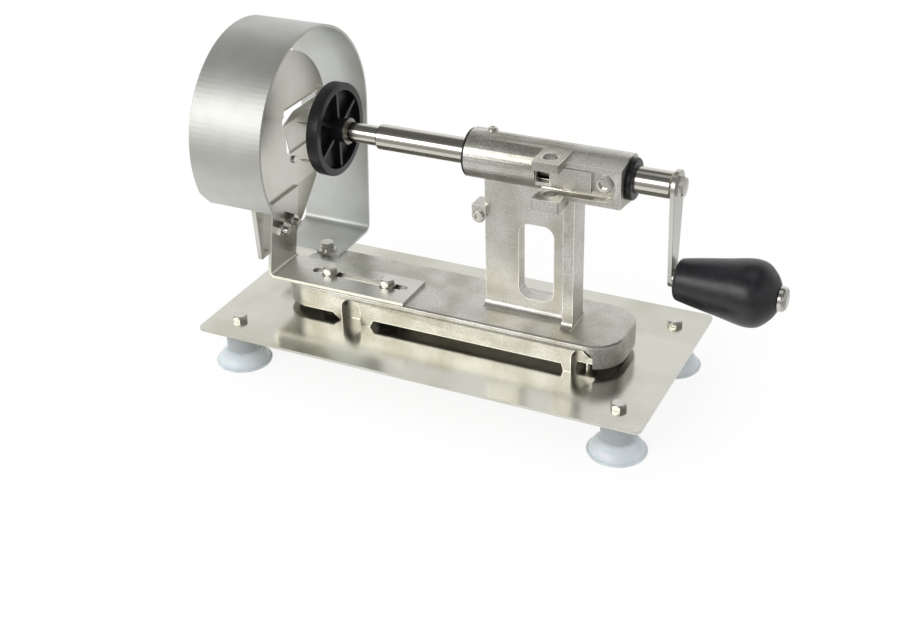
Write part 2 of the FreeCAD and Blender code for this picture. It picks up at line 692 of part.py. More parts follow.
def make_blade_plate():
    # Round plate above the crease, tapered tail behind the bracket below it.
    back_x = DISC_FACE_X - DISC_T
    side_y = TAIL_OUTLINE[0][0]
    left_y = TAIL_OUTLINE[-1][0]
    disc = rod_x(back_x, DISC_FACE_X, DISC_R, 0, DISC_Z)
    disc = disc.cut(box((back_x, DISC_FACE_X), (-DISC_R, DISC_R), (0, CREASE_Z)))
    shoulders = box((back_x, DISC_FACE_X), (left_y, side_y), (CREASE_Z, SHOULDER_Z))
    tail_top = CREASE_Z + 0.3
    tail = profile_along_x(((side_y, tail_top),) + TAIL_OUTLINE + ((left_y, tail_top),), back_x, DISC_FACE_X)
    plate = join([disc, shoulders, lean(tail)])
    y0, y1, z0, z1 = BLADE_WINDOW
    reach = (back_x - 1, DISC_FACE_X + 1)
    window = rounded_box(reach, (y0, y1), (z0, z1), 2.0, V(1, 0, 0))
    slit = box(reach, (y1 - 4, y1 + 2.5), (z1 - 1.2, z1))
    hole_y, hole_z, hole_r = BLADE_HOLE
    plate = plate.cut(window).cut(slit).cut(rod_x(reach[0], reach[1], hole_r, hole_y, hole_z))
    for y, z in BLADE_SCREWS:
        plate = plate.cut(rod_x(reach[0], reach[1], BLADE_SCREW_R, y, z))
    return cut_plate_bolt_holes(plate)


def make_spiral_blade():
    # Folded leaf in the window: it leans back, then forward to a sharp edge.
    seat_x = DISC_FACE_X - DISC_T
    foot_z = BLADE_WINDOW[2]
    fold_x, fold_z = LEAF_FOLD
    back_x = seat_x - LEAF_T
    outline = ((seat_x, LEAF_TAB_Z), (seat_x, foot_z), (fold_x, fold_z - 0.4), LEAF_EDGE,
               (fold_x - LEAF_T * 1.3, fold_z), (back_x, foot_z + 0.2), (back_x, LEAF_TAB_Z))
    leaf = profile_along_y(outline, LEAF_Y[0] - 3, LEAF_Y[1])
    leaf = leaf.cut(box((-140, -120), (-10, LEAF_Y[0]), (foot_z, 150)))
    for y, z in BLADE_SCREWS:
        leaf = leaf.cut(rod_x(seat_x - 3, seat_x + 1, BLADE_SCREW_R, y, z))
    return leaf


def make_blade_screws():
    screws = []
    for y, z in BLADE_SCREWS:
        head = rod_x(DISC_FACE_X, DISC_FACE_X + 1.7, BLADE_SCREW_HEAD_R, y, z)
        rim = [edge for edge in head.Edges if edge.BoundBox.XMin > DISC_FACE_X + 1.69]
        head = head.makeFillet(0.9, rim)
        shank = rod_x(DISC_FACE_X - DISC_T - LEAF_T - 0.6, DISC_FACE_X, BLADE_SCREW_R, y, z)
        screws.append(join([head, shank]))
    return group(screws)


def make_backing_plate():
    # Wider plate behind the tail, creased like it, its head straight up behind the disc.
    front_x = DISC_FACE_X - DISC_T
    back_x = front_x - BACK_T
    lower = lean(profile_along_x(BACK_OUTLINE, back_x, front_x))
    left_y, right_y, top_z = BACK_TOP
    low_right = BACK_OUTLINE[2]
    low_left = BACK_OUTLINE[3]
    crease_z = CREASE_Z + BACK_T * math.sin(math.radians(LEAN_DEG)) / 2
    upper_outline = ((low_left[0], crease_z), (low_right[0], crease_z), (right_y, top_z), (left_y, top_z))
    upper = profile_along_x(upper_outline, back_x, front_x)
    ends = [edge for edge in edges_along(upper, V(1, 0, 0)) if edge.BoundBox.ZMin > top_z - 0.01]
    return cut_plate_bolt_holes(join([lower, upper.makeFillet(5.0, ends)]))


def make_plate_bolts():
    head_x = DISC_FACE_X - DISC_T - BACK_T
    length = BACK_T + DISC_T + BRACKET_T + PLATE_BOLT_END
    bolt = hex_bolt(M6_FLATS, M6_HEAD, M6_R, length)
    return group([lean(place(bolt, V(head_x, y, z), V(-1, 0, 0))) for y, z in PLATE_BOLTS])


def make_plate_nuts():
    nut = hex_nut(M6_FLATS, M6_NUT, M6_R)
    return group([lean(place(nut, V(DISC_FACE_X + BRACKET_T, y, z), V(1, 0, 0))) for y, z in PLATE_BOLTS])


def guard_arc(center_y, center_z, radius, start, end):
    # Arc in the YZ plane at the guard's far edge, angles from +Y towards +Z.
    points = []
    for degrees in (start, (start + end) / 2, end):
        turn = math.radians(degrees)
        points.append(V(GUARD_X0, center_y + radius * math.cos(turn), center_z + radius * math.sin(turn)))
    return Part.Arc(*points).toShape()


def make_guard():
    # Band over the blade, a leg tangent to it at the back and a flange bent forward onto the bed.
    lean = math.radians(GUARD_LEG_DEG)
    bend_z = BED_TOP + GUARD_BEND
    bend_y = (GUARD_R - GUARD_BEND + (GUARD_Z - bend_z) * math.sin(lean)) / math.cos(lean)
    sides = []
    for drop in (0, GUARD_T):
        band = guard_arc(0, GUARD_Z, GUARD_R - drop, GUARD_FRONT_DEG, GUARD_LEG_DEG)
        bend = guard_arc(bend_y, bend_z, GUARD_BEND - drop, GUARD_LEG_DEG, -90)
        leg = Part.makeLine(band.Vertexes[-1].Point, bend.Vertexes[0].Point)
        end = V(GUARD_X0, GUARD_FLANGE_Y, BED_TOP + drop)
        flange = Part.makeLine(bend.Vertexes[-1].Point, end)
        sides.append([band, leg, bend, flange])
    tip = Part.makeLine(sides[0][0].Vertexes[0].Point, sides[1][0].Vertexes[0].Point)
    toe = Part.makeLine(sides[0][-1].Vertexes[-1].Point, sides[1][-1].Vertexes[-1].Point)
    outline = Part.Wire(Part.sortEdges(sides[0] + sides[1] + [tip, toe])[0])
    guard = Part.Face(outline).extrude(V(GUARD_X1 - GUARD_X0, 0, 0))
    across, up = GUARD_CORNER
    low = GUARD_Z + GUARD_R * math.sin(math.radians(GUARD_FRONT_DEG)) - 2
    outside_x = GUARD_X0 - 1
    triangle = ((outside_x, low), (GUARD_X0 + across + 2, low), (outside_x, low + up + 4))
    corner = profile_along_y(triangle, -80, -50)
    x, y = GUARD_BOLT
    return guard.cut(corner).cut(rod(V(x, y, BED_TOP - 1), V(x, y, BED_TOP + 4), M6_HOLE_R))


def guard_seat():
    return BED_TOP + GUARD_T


def make_guard_washers():
    x, y = GUARD_BOLT
    flat = place(washer(WASHER_R + 0.4, M6_HOLE_R, WASHER_T), V(x, y, guard_seat()), V(0, 0, 1))
    spring = place(washer(5.0, M6_HOLE_R, 1.6), V(x, y, guard_seat() + WASHER_T), V(0, 0, 1))
    return group([flat, spring])


def make_guard_bolt():
    x, y = GUARD_BOLT
    seat = guard_seat() + WASHER_T + 1.6
    return place(hex_bolt(M6_FLATS, M6_HEAD, M6_R, seat - 9.0), V(x, y, seat), V(0, 0, 1))


def all_nodes():
    nodes = {
        "base_plate": make_base_plate(),
        "foot_bolts": make_foot_bolts(),
        "main_casting": make_main_casting(),
        "bed_screws": make_bed_screws(),
        "blade_side_bush": make_bush(TUBE_X0, 1, LEFT_FLANGE_T, TUBE_R),
        "crank_side_bush": make_bush(TUBE_X1, -1, RIGHT_FLANGE_T, RIGHT_FLANGE_R),
        "housing_screw": make_housing_screw(),
        "column_lug_screw": make_column_lug_screw(),
        "tube_set_screw": make_tube_set_screw(),
        "quill": make_quill(),
        "spindle": make_spindle(),
        "pusher_collar": make_pusher_collar(),
        "pusher_wheel": make_pusher_wheel(),
        "pusher_prongs": make_pusher_prongs(),
        "pusher_spike": make_pusher_spike(),
        "crank_arm": make_crank_arm(),
        "crank_bolt": make_crank_bolt(),
        "knob_washer": make_knob_washer(),
        "knob": make_knob(),
        "knob_bolt": make_knob_bolt(),
        "blade_bracket": make_blade_bracket(),
        "bracket_bolts": make_bracket_bolts(),
        "bracket_washers": make_bracket_washers(),
        "blade_plate": make_blade_plate(),
        "spiral_blade": make_spiral_blade(),
        "blade_screws": make_blade_screws(),
        "backing_plate": make_backing_plate(),
        "plate_bolts": make_plate_bolts(),
        "plate_nuts": make_plate_nuts(),
        "guard": make_guard(),
        "guard_washers": make_guard_washers(),
        "guard_bolt": make_guard_bolt(),
    }
    for name, at in zip(("left_front", "left_back", "right_front", "right_back"), corners()):
        nodes["foot_" + name] = make_foot(at)
    return nodes


os.makedirs("parts", exist_ok=True)
for name, shape in all_nodes().items():
    shape.translate(ORIGIN_SHIFT)
    shape.exportStep("parts/" + name + ".step")
    bounds = shape.BoundBox
    print(name, shape.isValid(), len(shape.Solids), round(shape.Volume), [round(value, 1) for value in (
        bounds.XMin, bounds.XMax, bounds.YMin, bounds.YMax, bounds.ZMin, bounds.ZMax)])
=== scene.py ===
import json
import math

import bmesh
import bpy
import numpy as np
from mathutils import Matrix, Vector


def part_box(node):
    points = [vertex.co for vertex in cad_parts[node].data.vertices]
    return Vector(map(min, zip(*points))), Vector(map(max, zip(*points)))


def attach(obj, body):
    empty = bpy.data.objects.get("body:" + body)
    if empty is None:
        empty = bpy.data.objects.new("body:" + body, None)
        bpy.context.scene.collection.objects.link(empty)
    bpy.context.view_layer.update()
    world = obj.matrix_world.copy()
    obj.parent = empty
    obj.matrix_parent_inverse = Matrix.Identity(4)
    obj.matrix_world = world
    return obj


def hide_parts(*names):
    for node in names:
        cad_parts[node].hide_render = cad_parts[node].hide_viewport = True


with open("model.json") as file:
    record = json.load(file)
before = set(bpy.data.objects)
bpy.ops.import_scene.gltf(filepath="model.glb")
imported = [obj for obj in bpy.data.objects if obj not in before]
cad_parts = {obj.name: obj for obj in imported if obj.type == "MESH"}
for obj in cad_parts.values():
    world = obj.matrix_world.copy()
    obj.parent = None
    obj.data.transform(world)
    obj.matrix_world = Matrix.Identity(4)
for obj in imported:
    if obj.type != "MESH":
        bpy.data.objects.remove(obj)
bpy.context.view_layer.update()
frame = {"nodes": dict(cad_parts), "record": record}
nodes = frame["nodes"]
print("loaded", len(nodes), "nodes")

mm = 0.001


def hexColour(code):
    # sRGB hex to linear
    parts = [int(code[i:i + 2], 16) / 255 for i in (1, 3, 5)]
    linear = [c / 12.92 if c <= 0.04045 else ((c + 0.055) / 1.055) ** 2.4 for c in parts]
    return (*linear, 1.0)


def perSize(size):
    # Scale of a pattern whose features are this many millimetres
    return 1 / (size * mm)


def addNode(material, kind, links=None, **settings):
    # One node: settings are its properties, links are values or sockets for its inputs
    node = material.node_tree.nodes.new(kind)
    for name, value in settings.items():
        setattr(node, name, value)
    for name, value in (links or {}).items():
        if isinstance(value, bpy.types.NodeSocket):
            material.node_tree.links.new(value, node.inputs[name])
        else:
            node.inputs[name].default_value = value
    return node


def startMaterial(name, **shader):
    # Principled shader with plain values; a colour may be a hex code
    material = bpy.data.materials.new(name)
    material.use_nodes = True
    bsdf = material.node_tree.nodes["Principled BSDF"]
    for key, value in shader.items():
        socket = bsdf.inputs[key.replace("_", " ")]
        socket.default_value = hexColour(value) if isinstance(value, str) else value
    coords = addNode(material, "ShaderNodeTexCoord").outputs["Object"]
    return material, bsdf, coords


def ramp(material, source, *stops):
    # Colour ramp through (place, hex or grey) stops
    node = addNode(material, "ShaderNodeValToRGB", {"Fac": source})
    node.color_ramp.elements.remove(node.color_ramp.elements[1])
    for index, (place, tone) in enumerate(stops):
        element = node.color_ramp.elements[0] if index == 0 else node.color_ramp.elements.new(place)
        element.position = place
        element.color = hexColour(tone) if isinstance(tone, str) else (tone, tone, tone, 1)
    return node.outputs["Color"]


def bendShader(material, bsdf, height, distance, strength):
    # Bump of this depth in metres
    links = {"Height": height, "Distance": distance, "Strength": strength}
    bump = addNode(material, "ShaderNodeBump", links)
    material.node_tree.links.new(bump.outputs["Normal"], bsdf.inputs["Normal"])


def connect(material, bsdf, **sockets):
    for key, value in sockets.items():
        material.node_tree.links.new(value, bsdf.inputs[key.replace("_", " ")])


def roundedEdgeMask(material, width, flat, onEdge):
    # 0 on flats, 1 on edges: how far a normal rounded over this width leaves the true one
    soft = addNode(material, "ShaderNodeBevel", {"Radius": width}, samples=4).outputs["Normal"]
    hard = addNode(material, "ShaderNodeNewGeometry").outputs["Normal"]
    same = addNode(material, "ShaderNodeVectorMath", {0: soft, 1: hard}, operation="DOT_PRODUCT")
    links = {"Value": same.outputs["Value"], "From Min": flat, "From Max": onEdge,
             "To Min": 0.0, "To Max": 1.0}
    return addNode(material, "ShaderNodeMapRange", links).outputs[0]


sheetLook = {
    "runMm": 70,            # length of a brushed line
    "lineDepth": 0.0000025,
    "handlingMm": 55,       # patches where hands and cloths have been
    "handled": 0.6,         # their share in the roughness
    "smudge": "#ecebe5",
}


def brushedSheet(name, across, tone, rough, lineMm, drag):
    # Stainless sheet, brushed: lines finer than a pixel, drawn coarser so that they just show.
    # They drag every reflection out across their run, which gives the soft satin sheen.
    material, bsdf, coords = startMaterial(name, Metallic=1.0, Anisotropic=drag)
    scale = [perSize(sheetLook["runMm"])] * 3
    scale["XYZ".index(across)] = perSize(lineMm)
    lined = addNode(material, "ShaderNodeMapping", {"Vector": coords, "Scale": scale}).outputs[0]
    links = {"Vector": lined, "Scale": 1.0, "Detail": 3.0}
    lines = addNode(material, "ShaderNodeTexNoise", links).outputs["Fac"]
    links = {"Vector": coords, "Scale": perSize(sheetLook["handlingMm"]), "Detail": 3.0}
    handled = addNode(material, "ShaderNodeTexNoise", links).outputs["Fac"]
    links = {"Factor": sheetLook["handled"], "A": lines, "B": handled}
    both = addNode(material, "ShaderNodeMix", links, data_type="FLOAT").outputs[0]
    dragged = addNode(material, "ShaderNodeCombineXYZ", {across: 1.0}).outputs[0]
    clean = ramp(material, lines, (0.3, tone[0]), (0.7, tone[1]))
    smudge = ramp(material, handled, (0.36, sheetLook["smudge"]), (0.6, "#ffffff"))
    links = {"Factor": 1.0, "A": clean, "B": smudge}
    used = addNode(material, "ShaderNodeMix", links, data_type="RGBA", blend_type="MULTIPLY").outputs[2]
    matte = ramp(material, both, (0.35, rough[0]), (0.65, rough[1]))
    connect(material, bsdf, Base_Color=used, Roughness=matte, Tangent=dragged)
    bendShader(material, bsdf, lines, sheetLook["lineDepth"], 0.5)
    return material


castLook = {
    "grainMm": 1.1, "pitMm": 3.4, "pitted": 0.35, "depth": 0.00017,
    "face": ("#bfbdb5", "#e4e3dd"), "rough": (0.31, 0.44),
    "stainMm": 26, "stain": "#e3e1d9",
    "edge": 0.0012, "flat": 0.995, "onEdge": 0.90,
    # polished: edge colour painted lighter as a highlight; sleek is the edges' real smoother polish
    # shadow: painted shade, a dark colour laid just inside each edge
    "shadow": "#7d7a70", "polishedHighlight": "#f6f5f0", "sleek": (0.16, 0.16, 0.16, 1),
}


def castSteel():
    # Investment cast stainless, shot blasted then tumbled: a fine orange-peel grain that sparkles
    # on the faces, edges rubbed smoother with their colour painted lighter as a highlight, and a line of
    # painted shade beside each edge
    material, bsdf, coords = startMaterial("tumbled cast stainless", Metallic=1.0)
    links = {"Vector": coords, "Scale": perSize(castLook["grainMm"]), "Detail": 4.0, "Roughness": 0.6}
    grain = addNode(material, "ShaderNodeTexNoise", links).outputs["Fac"]
    links = {"Vector": coords, "Scale": perSize(castLook["pitMm"]), "Detail": 2.0}
    pits = addNode(material, "ShaderNodeTexNoise", links).outputs["Fac"]
    links = {"Vector": coords, "Scale": perSize(castLook["stainMm"]), "Detail": 4.0}
    stains = addNode(material, "ShaderNodeTexNoise", links).outputs["Fac"]
    edgeMask = roundedEdgeMask(material, castLook["edge"], castLook["flat"], castLook["onEdge"])

    fresh = ramp(material, grain, (0.35, castLook["face"][0]), (0.65, castLook["face"][1]))
    stained = ramp(material, stains, (0.38, castLook["stain"]), (0.60, "#ffffff"))
    links = {"Factor": 1.0, "A": fresh, "B": stained}
    tone = addNode(material, "ShaderNodeMix", links, data_type="RGBA", blend_type="MULTIPLY").outputs[2]
    # painted shade: a dark line in the colour just inside each edge
    paintedEdgeShade = ramp(material, edgeMask, (0.0, 0.0), (0.22, 1.0), (0.5, 0.0))
    links = {"Factor": paintedEdgeShade, "A": tone, "B": hexColour(castLook["shadow"])}
    lined = addNode(material, "ShaderNodeMix", links, data_type="RGBA").outputs[2]
    # painted highlight: edges made lighter in colour, on top of their real polish in roughness
    bright = ramp(material, edgeMask, (0.4, 0.0), (0.8, 1.0))
    links = {"Factor": bright, "A": lined, "B": hexColour(castLook["polishedHighlight"])}
    rubbed = addNode(material, "ShaderNodeMix", links, data_type="RGBA").outputs[2]

    matte = ramp(material, grain, (0.35, castLook["rough"][0]), (0.65, castLook["rough"][1]))
    links = {"Factor": edgeMask, "A": matte, "B": castLook["sleek"]}
    sleek = addNode(material, "ShaderNodeMix", links, data_type="RGBA").outputs[2]
    connect(material, bsdf, Base_Color=rubbed, Roughness=sleek)
    links = {"Factor": castLook["pitted"], "A": grain, "B": pits}
    height = addNode(material, "ShaderNodeMix", links, data_type="FLOAT").outputs[0]
    bendShader(material, bsdf, height, castLook["depth"], 0.8)
    return material


barLook = {"ringMm": 0.9, "alongRing": 12, "depth": 0.000008, "spread": 0.06}


def turnedSteel(name, tone, rough):
    # Turned and polished bar: faint rings round its axis
    material, bsdf, coords = startMaterial(name, Metallic=1.0, Base_Color=tone)
    scale = (perSize(barLook["ringMm"]), barLook["alongRing"], barLook["alongRing"])
    rings = addNode(material, "ShaderNodeMapping", {"Vector": coords, "Scale": scale}).outputs[0]
    links = {"Vector": rings, "Scale": 1.0, "Detail": 2.0}
    lines = addNode(material, "ShaderNodeTexNoise", links).outputs["Fac"]
    connect(material, bsdf, Roughness=ramp(material, lines, (0.3, rough), (0.7, rough + barLook["spread"])))
    bendShader(material, bsdf, lines, barLook["depth"], 0.5)
    return material


screwLook = {"markMm": 2.2, "depth": 0.00003, "tone": ("#c6c4bc", "#d8d6cf"), "rough": (0.14, 0.24)}


def brightScrew():
    # Cold-headed stainless fastener: bright, with faint forging marks that break up its reflections
    material, bsdf, coords = startMaterial("bright stainless screw", Metallic=1.0)
    links = {"Vector": coords, "Scale": perSize(screwLook["markMm"]), "Detail": 3.0}
    marks = addNode(material, "ShaderNodeTexNoise", links).outputs["Fac"]
    tone = ramp(material, marks, (0.3, screwLook["tone"][0]), (0.7, screwLook["tone"][1]))
    matte = ramp(material, marks, (0.3, screwLook["rough"][0]), (0.7, screwLook["rough"][1]))
    connect(material, bsdf, Base_Color=tone, Roughness=matte)
    bendShader(material, bsdf, marks, screwLook["depth"], 0.6)
    return material


plasticLook = {"grainMm": 0.8, "spread": 0.10}


def mouldedPlastic(name, tone, rough, depth):
    # Moulded black plastic: fine spark-eroded grain
    material, bsdf, coords = startMaterial(name, Base_Color=tone, IOR=1.5)
    links = {"Vector": coords, "Scale": perSize(plasticLook["grainMm"]), "Detail": 3.0}
    grain = addNode(material, "ShaderNodeTexNoise", links).outputs["Fac"]
    matte = ramp(material, grain, (0.3, rough), (0.7, rough + plasticLook["spread"]))
    connect(material, bsdf, Roughness=matte)
    bendShader(material, bsdf, grain, depth, 0.5)
    return material


gripLook = {"rubMm": 7, "tone": ("#141518", "#202125"), "rough": (0.30, 0.42)}


def gripPhenolic():
    # Turned and buffed phenolic: smooth, its gloss dulled in patches where a hand has rubbed it
    material, bsdf, coords = startMaterial("buffed black phenolic", IOR=1.55)
    links = {"Vector": coords, "Scale": perSize(gripLook["rubMm"]), "Detail": 4.0, "Roughness": 0.6}
    rubbed = addNode(material, "ShaderNodeTexNoise", links).outputs["Fac"]
    tone = ramp(material, rubbed, (0.35, gripLook["tone"][0]), (0.70, gripLook["tone"][1]))
    matte = ramp(material, rubbed, (0.35, gripLook["rough"][0]), (0.70, gripLook["rough"][1]))
    connect(material, bsdf, Base_Color=tone, Roughness=matte)
    return material


vinylLook = {
    "hazeMm": 14, "bell": ("#cdd6db", "#dde4e8"), "neck": "#a3a8aa", "rough": (0.22, 0.32),
    "bellTop": (0.0095, 0.0115),    # height over which the bell's tone becomes the neck's
}


def cupVinyl():
    # Soft milky vinyl with a cool tint: light scatters inside the thin bell, the thick neck is greyer
    material, bsdf, coords = startMaterial("milky vinyl", IOR=1.48, Subsurface_Weight=0.3,
                                           Subsurface_Scale=0.004)
    links = {"Vector": coords, "Scale": perSize(vinylLook["hazeMm"]), "Detail": 2.0}
    haze = addNode(material, "ShaderNodeTexNoise", links).outputs["Fac"]
    height = addNode(material, "ShaderNodeSeparateXYZ", {"Vector": coords}).outputs["Z"]
    low, high = vinylLook["bellTop"]
    thick = addNode(material, "ShaderNodeMapRange", {"Value": height, "From Min": low, "From Max": high})
    thin = ramp(material, haze, (0.3, vinylLook["bell"][0]), (0.7, vinylLook["bell"][1]))
    links = {"Factor": thick.outputs[0], "A": thin, "B": hexColour(vinylLook["neck"])}
    tone = addNode(material, "ShaderNodeMix", links, data_type="RGBA").outputs[2]
    matte = ramp(material, haze, (0.3, vinylLook["rough"][0]), (0.7, vinylLook["rough"][1]))
    connect(material, bsdf, Base_Color=tone, Roughness=matte)
    return material


finishes = {
    # sheet: name, axis across the brushing, tones, roughness, line spacing in mm, drag
    "plate": brushedSheet("brushed stainless sheet", "Y", ("#d2d1c8", "#d8d7ce"), (0.15, 0.21), 0.6, 0.3),
    "bracket": brushedSheet("brushed stainless bracket", "Y", ("#d3d2cc", "#d8d7d1"), (0.24, 0.30), 0.6, 0.2),
    "blade": brushedSheet("satin blade sheet", "Y", ("#d3d1c9", "#d9d7cf"), (0.27, 0.33), 0.8, 0.2),
    "hoop": brushedSheet("brushed hoop stainless", "X", ("#d3d5d2", "#d8dad7"), (0.485, 0.51), 0.45, 0.0),
    "cast": castSteel(),
    "shaft": turnedSteel("ground stainless bar", "#cfccc2", 0.10),
    "collar": turnedSteel("turned collar steel", "#8d8a82", 0.30),
    "screw": brightScrew(),
    "nylon": mouldedPlastic("black nylon", "#131316", 0.33, 0.00003),
    "bush": mouldedPlastic("black acetal", "#101013", 0.28, 0.00002),
    "grip": gripPhenolic(),
    "vinyl": cupVinyl(),
}
print("materials", len(finishes))


def bodyOf(node):
    for body, members in frame["record"]["behaviour"]["bodies"].items():
        if node in members:
            return body


def settle(piece, finish, node):
    # Material and body of a piece that stands for a node
    piece.data.materials.clear()
    piece.data.materials.append(finishes[finish])
    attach(piece, bodyOf(node))


def surface(name, grid):
    # Mesh from a grid of points, rows by columns, each row closed on itself
    rows, columns = grid.shape[:2]
    r, c = np.meshgrid(np.arange(rows - 1), np.arange(columns), indexing="ij")
    row, nextRow, nextC = r * columns, (r + 1) * columns, (c + 1) % columns
    faces = np.stack([row + c, row + nextC, nextRow + nextC, nextRow + c], axis=-1)
    mesh = bpy.data.meshes.new(name)
    mesh.from_pydata(grid.reshape(-1, 3).tolist(), [], faces.reshape(-1, 4).tolist())
    work = bmesh.new()
    work.from_mesh(mesh)
    bmesh.ops.remove_doubles(work, verts=work.verts, dist=1e-7)
    bmesh.ops.recalc_face_normals(work, faces=work.faces)
    work.to_mesh(mesh)
    work.free()
    mesh.shade_smooth()
    piece = bpy.data.objects.new(name, mesh)
    bpy.context.collection.objects.link(piece)
    return piece


def spun(name, profile, axis, centre, columns, sharp=50):
    # Profile of (along, radius) points turned about an axis through centre
    along, radius = np.array(profile, dtype=float).T
    turn = np.linspace(0, 2 * math.pi, columns, endpoint=False)
    first = np.outer(radius, np.cos(turn))
    second = np.outer(radius, np.sin(turn))
    length = np.repeat(along[:, None], columns, axis=1)
    order = {"X": (length, first, second), "Z": (first, second, length)}[axis]
    piece = surface(name, np.stack(order, axis=-1) + np.array(centre))
    piece.data.set_sharp_from_angle(angle=math.radians(sharp))
    return piece


def curved(points, steps=10):
    # Smooth profile through its points; its slope at each follows the points on either side
    p = np.array(points, dtype=float)
    p = np.vstack([2 * p[0] - p[1], p, 2 * p[-1] - p[-2]])
    t = np.linspace(0, 1, steps, endpoint=False)[:, None]
    spans = []
    for a, b, c, d in zip(p, p[1:], p[2:], p[3:]):
        square = 2 * a - 5 * b + 4 * c - d
        cube = 3 * b - a - 3 * c + d
        spans.append(0.5 * (2 * b + (c - a) * t + square * t ** 2 + cube * t ** 3))
    return np.vstack(spans + [p[-2:-1]]).tolist()


rounding = {"steps": 2, "angle": math.radians(32)}    # joints flatter than the angle stay smooth


def dressed(node, finish, edge):
    # Copy of a CAD node with its loose triangles joined and its edges rounded
    mesh = nodes[node].data.copy()
    work = bmesh.new()
    work.from_mesh(mesh)
    bmesh.ops.remove_doubles(work, verts=work.verts, dist=2e-6)
    bmesh.ops.dissolve_limit(work, angle_limit=math.radians(0.4), verts=work.verts, edges=work.edges)
    work.to_mesh(mesh)
    work.free()
    mesh.shade_smooth()
    mesh.set_sharp_from_angle(angle=rounding["angle"])
    piece = bpy.data.objects.new(node + "_finished", mesh)
    bpy.context.collection.objects.link(piece)
    if edge:
        bevel = piece.modifiers.new("edges", "BEVEL")
        bevel.width = edge * mm
        bevel.segments = rounding["steps"]
        bevel.limit_method = "ANGLE"
        bevel.angle_limit = rounding["angle"]
        bevel.harden_normals = True
        bevel.use_clamp_overlap = True
    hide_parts(node)
    settle(piece, finish, node)


# node: finish, rounded edge in mm
dressing = {
    "base_plate": ("plate", 0.35),
    "main_casting": ("cast", 0.9),
    "guard": ("hoop", 0.3),
    "blade_bracket": ("bracket", 0.5),
    "backing_plate": ("bracket", 0.4),
    "blade_plate": ("blade", 0.25),
    "spiral_blade": ("blade", 0.1),
    "blade_screws": ("screw", 0.15),
    "plate_bolts": ("screw", 0.25),
    "plate_nuts": ("screw", 0.3),
    "bracket_bolts": ("screw", 0.3),
    "bracket_washers": ("screw", 0.2),
    "guard_bolt": ("screw", 0.3),
    "guard_washers": ("screw", 0.2),
    "foot_bolts": ("screw", 0.3),
    "bed_screws": ("screw", 0.3),
    "housing_screw": ("screw", 0.3),
    "column_lug_screw": ("screw", 0.3),
    "tube_set_screw": ("screw", 0.3),
    "blade_side_bush": ("bush", 0.3),
    "crank_side_bush": ("bush", 0.5),
    "quill": ("shaft", 0.0),
    "spindle": ("shaft", 0.2),
    "pusher_collar": ("collar", 0.2),
    "pusher_wheel": ("nylon", 0.5),
    "pusher_prongs": ("shaft", 0.0),
    "pusher_spike": ("shaft", 0.0),
    "crank_arm": ("bracket", 0.3),
    "crank_bolt": ("screw", 0.35),
    "knob_washer": ("screw", 0.2),
    "knob_bolt": ("screw", 0.0),
}
for node, (finish, edge) in dressing.items():
    dressed(node, finish, edge)
print("dressed nodes", len(dressing))

knob = {
    "start": 0.1307, "end": 0.199,    # along the crank pin
    "pinHeight": 0.1045, "bore": 0.00405,
    # distance from the start, radius
    "face": ((0.0, 0.0122), (0.0004, 0.0130), (0.0012, 0.0138)),
    "swell": ((0.0022, 0.0143), (0.013, 0.0164), (0.031, 0.0195), (0.0443, 0.0221), (0.0523, 0.0225),
              (0.0585, 0.0206)),
    # distance from the end, radius
    "dome": ((0.004, 0.0152), (0.001, 0.0105), (0.0, 0.008)),
}


def makeKnob():
    # Pear turned about the pin: a short collar, a long swell and a domed end
    start, end, bore = knob["start"], knob["end"], knob["bore"]
    face = [(start + along, radius) for along, radius in knob["face"]]
    body = [(start + along, radius) for along, radius in knob["swell"]]
    body += [(end - along, radius) for along, radius in knob["dome"]]
    profile = [(start, bore)] + face + curved(body) + [(end, bore), (start, bore)]
    piece = spun("grip_turned", profile, "X", (0, 0, knob["pinHeight"]), 128)
    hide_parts("knob")
    settle(piece, "grip", "knob")


makeKnob()

cup = {
    # height, radius
    "neck": ((0.032, 0.0), (0.032, 0.01065), (0.031, 0.01165), (0.0102, 0.01165)),
    "bell": ((0.0098, 0.01225), (0.0092, 0.0135), (0.0070, 0.0162), (0.0042, 0.0182), (0.0020, 0.0190)),
    "lip": ((0.0017, 0.0194), (0.0016, 0.02025), (0.0011, 0.02075), (0.0, 0.02045)),
    "hollow": ((0.0, 0.01925), (0.0022, 0.0155), (0.0040, 0.0100), (0.0050, 0.003)),
    "roof": ((0.0050, 0.0),),
}


def makeCup(node):
    # Neck, domed bell with a thin flat lip and a hollow underside
    low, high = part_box(node)
    centre = ((low[0] + high[0]) / 2, (low[1] + high[1]) / 2, 0)
    profile = list(cup["neck"]) + curved(cup["bell"]) + list(cup["lip"])
    profile += curved(cup["hollow"]) + list(cup["roof"])
    piece = spun(node + "_cup", profile, "Z", centre, 96)
    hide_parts(node)
    settle(piece, "vinyl", node)


for node in nodes:
    if node.startswith(("foot_left", "foot_right")):
        makeCup(node)
print("knob and cups")

view = {"place": (0.36655, -0.81030, 0.55928), "yaw": 26.61, "down": 29.97, "roll": -1.72, "lens": 57.45}


def setCamera():
    data = bpy.data.cameras.new("camera")
    data.lens = view["lens"]
    data.sensor_width = 36
    data.sensor_fit = "HORIZONTAL"
    camera = bpy.data.objects.new("camera", data)
    turn = Matrix.Rotation(math.radians(view["yaw"]), 4, "Z")
    tilt = Matrix.Rotation(math.radians(90 - view["down"]), 4, "X")
    roll = Matrix.Rotation(math.radians(view["roll"]), 4, "Z")
    camera.matrix_world = Matrix.Translation(view["place"]) @ turn @ tilt @ roll
    bpy.context.collection.objects.link(camera)
    bpy.context.scene.camera = camera


paper = {
    "reach": 6.0, "tone": "#f4f4f2",
    "glow": 1.04,       # straight to the camera, a touch over white so that only the shadow shows
    "share": 0.82,      # how much of the floor glows, the rest is lit paper
    # in mirrors the paper fades out over these places, to this brightness
    "frontEnd": (-0.28, -0.42), "frontDim": 0.25,
    "rightEnd": (0.16, 0.34), "rightDim": 0.35,
}


